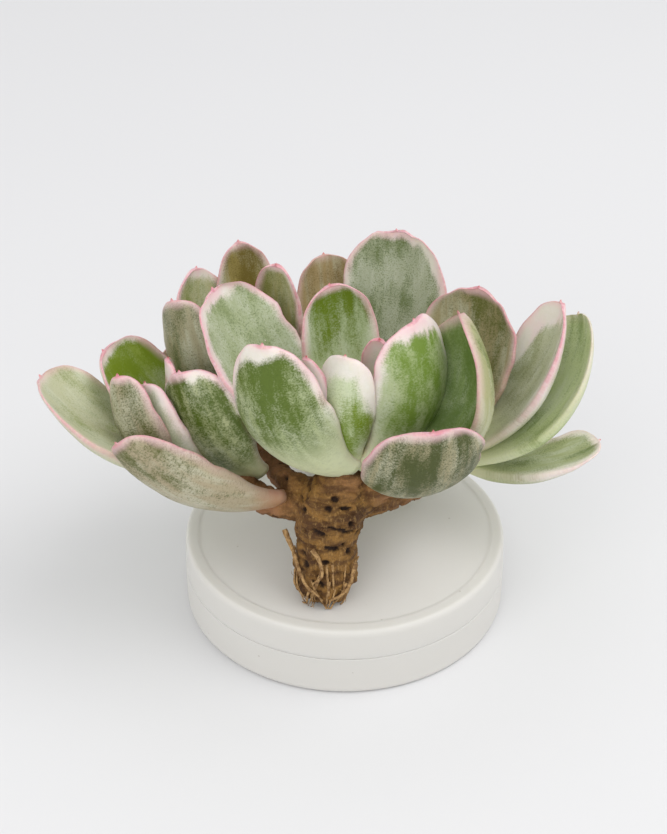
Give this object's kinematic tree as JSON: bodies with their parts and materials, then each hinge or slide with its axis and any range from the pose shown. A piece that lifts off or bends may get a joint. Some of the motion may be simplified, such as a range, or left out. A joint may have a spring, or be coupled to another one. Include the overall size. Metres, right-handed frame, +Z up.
{
  "type": "rosette succulent on a round display stand",
  "caption": "Bare-rooted branching variegated succulent with spoon-shaped cream-edged leaves, standing on a round frosted lidded stand.",
  "frame": {"origin": "centre of the stand's flat underside", "axes": "+Z up out of the stand's lid; -Y towards the plant's front, where the stem's foot stands; +X to the right seen from the front"},
  "size_m": [0.0977, 0.0623, 0.0663],
  "materials": {
    "leaf_centre": "waxy variegated leaf",
    "leaf_left": "waxy variegated leaf",
    "leaf_right": "waxy variegated leaf",
    "leaf_rear": "waxy variegated leaf",
    "leaf_rear_left": "waxy variegated leaf",
    "stem": "rough knobbly bark",
    "root": "dry fibre",
    "stand": "frosted milky plastic"
  },
  "bodies": {
    "root": {"stand_base": "stand", "stand_lid": "stand", "stem": "stem", "root_left": "root", "root_front": "root", "root_curl": "root", "leaf_centre_front_left": "leaf_centre", "leaf_centre_front_right": "leaf_centre", "leaf_right_shoot_front": "leaf_centre", "leaf_centre_front": "leaf_centre", "leaf_centre_cupped": "leaf_centre", "leaf_centre_back": "leaf_centre", "leaf_centre_back_left": "leaf_centre", "leaf_centre_back_right": "leaf_centre", "leaf_centre_bud_right": "leaf_centre", "leaf_centre_bud_left": "leaf_centre", "leaf_left_shoot_front": "leaf_centre", "leaf_left_front": "leaf_left", "leaf_left_front_outer": "leaf_left", "leaf_left_bud_front": "leaf_left", "leaf_left_bud_back": "leaf_left", "leaf_left_back": "leaf_left", "leaf_left_outer": "leaf_left", "leaf_left_rear": "leaf_left", "leaf_left_low": "leaf_left", "leaf_right_upper": "leaf_right", "leaf_right_outer": "leaf_right", "leaf_right_low_front": "leaf_right", "leaf_right_back": "leaf_right", "leaf_right_rear": "leaf_right", "leaf_right_low_rear": "leaf_right", "leaf_right_bud": "leaf_right", "leaf_rear_tall": "leaf_rear", "leaf_rear_middle": "leaf_rear", "leaf_rear_outer": "leaf_rear", "leaf_rear_right": "leaf_rear", "leaf_rear_left_low": "leaf_rear", "leaf_rear_bud_front": "leaf_rear", "leaf_rear_bud_right": "leaf_rear", "leaf_rear_resting_left": "leaf_rear", "leaf_rear_resting_right": "leaf_rear", "leaf_rear_left_tall": "leaf_rear_left", "leaf_rear_left_upright": "leaf_rear_left", "leaf_rear_left_pale": "leaf_rear_left", "leaf_rear_left_grey": "leaf_rear_left", "leaf_rear_left_back": "leaf_rear_left", "leaf_rear_left_side": "leaf_rear_left", "leaf_rear_left_bud": "leaf_rear_left"}
  },
  "joints": []
}
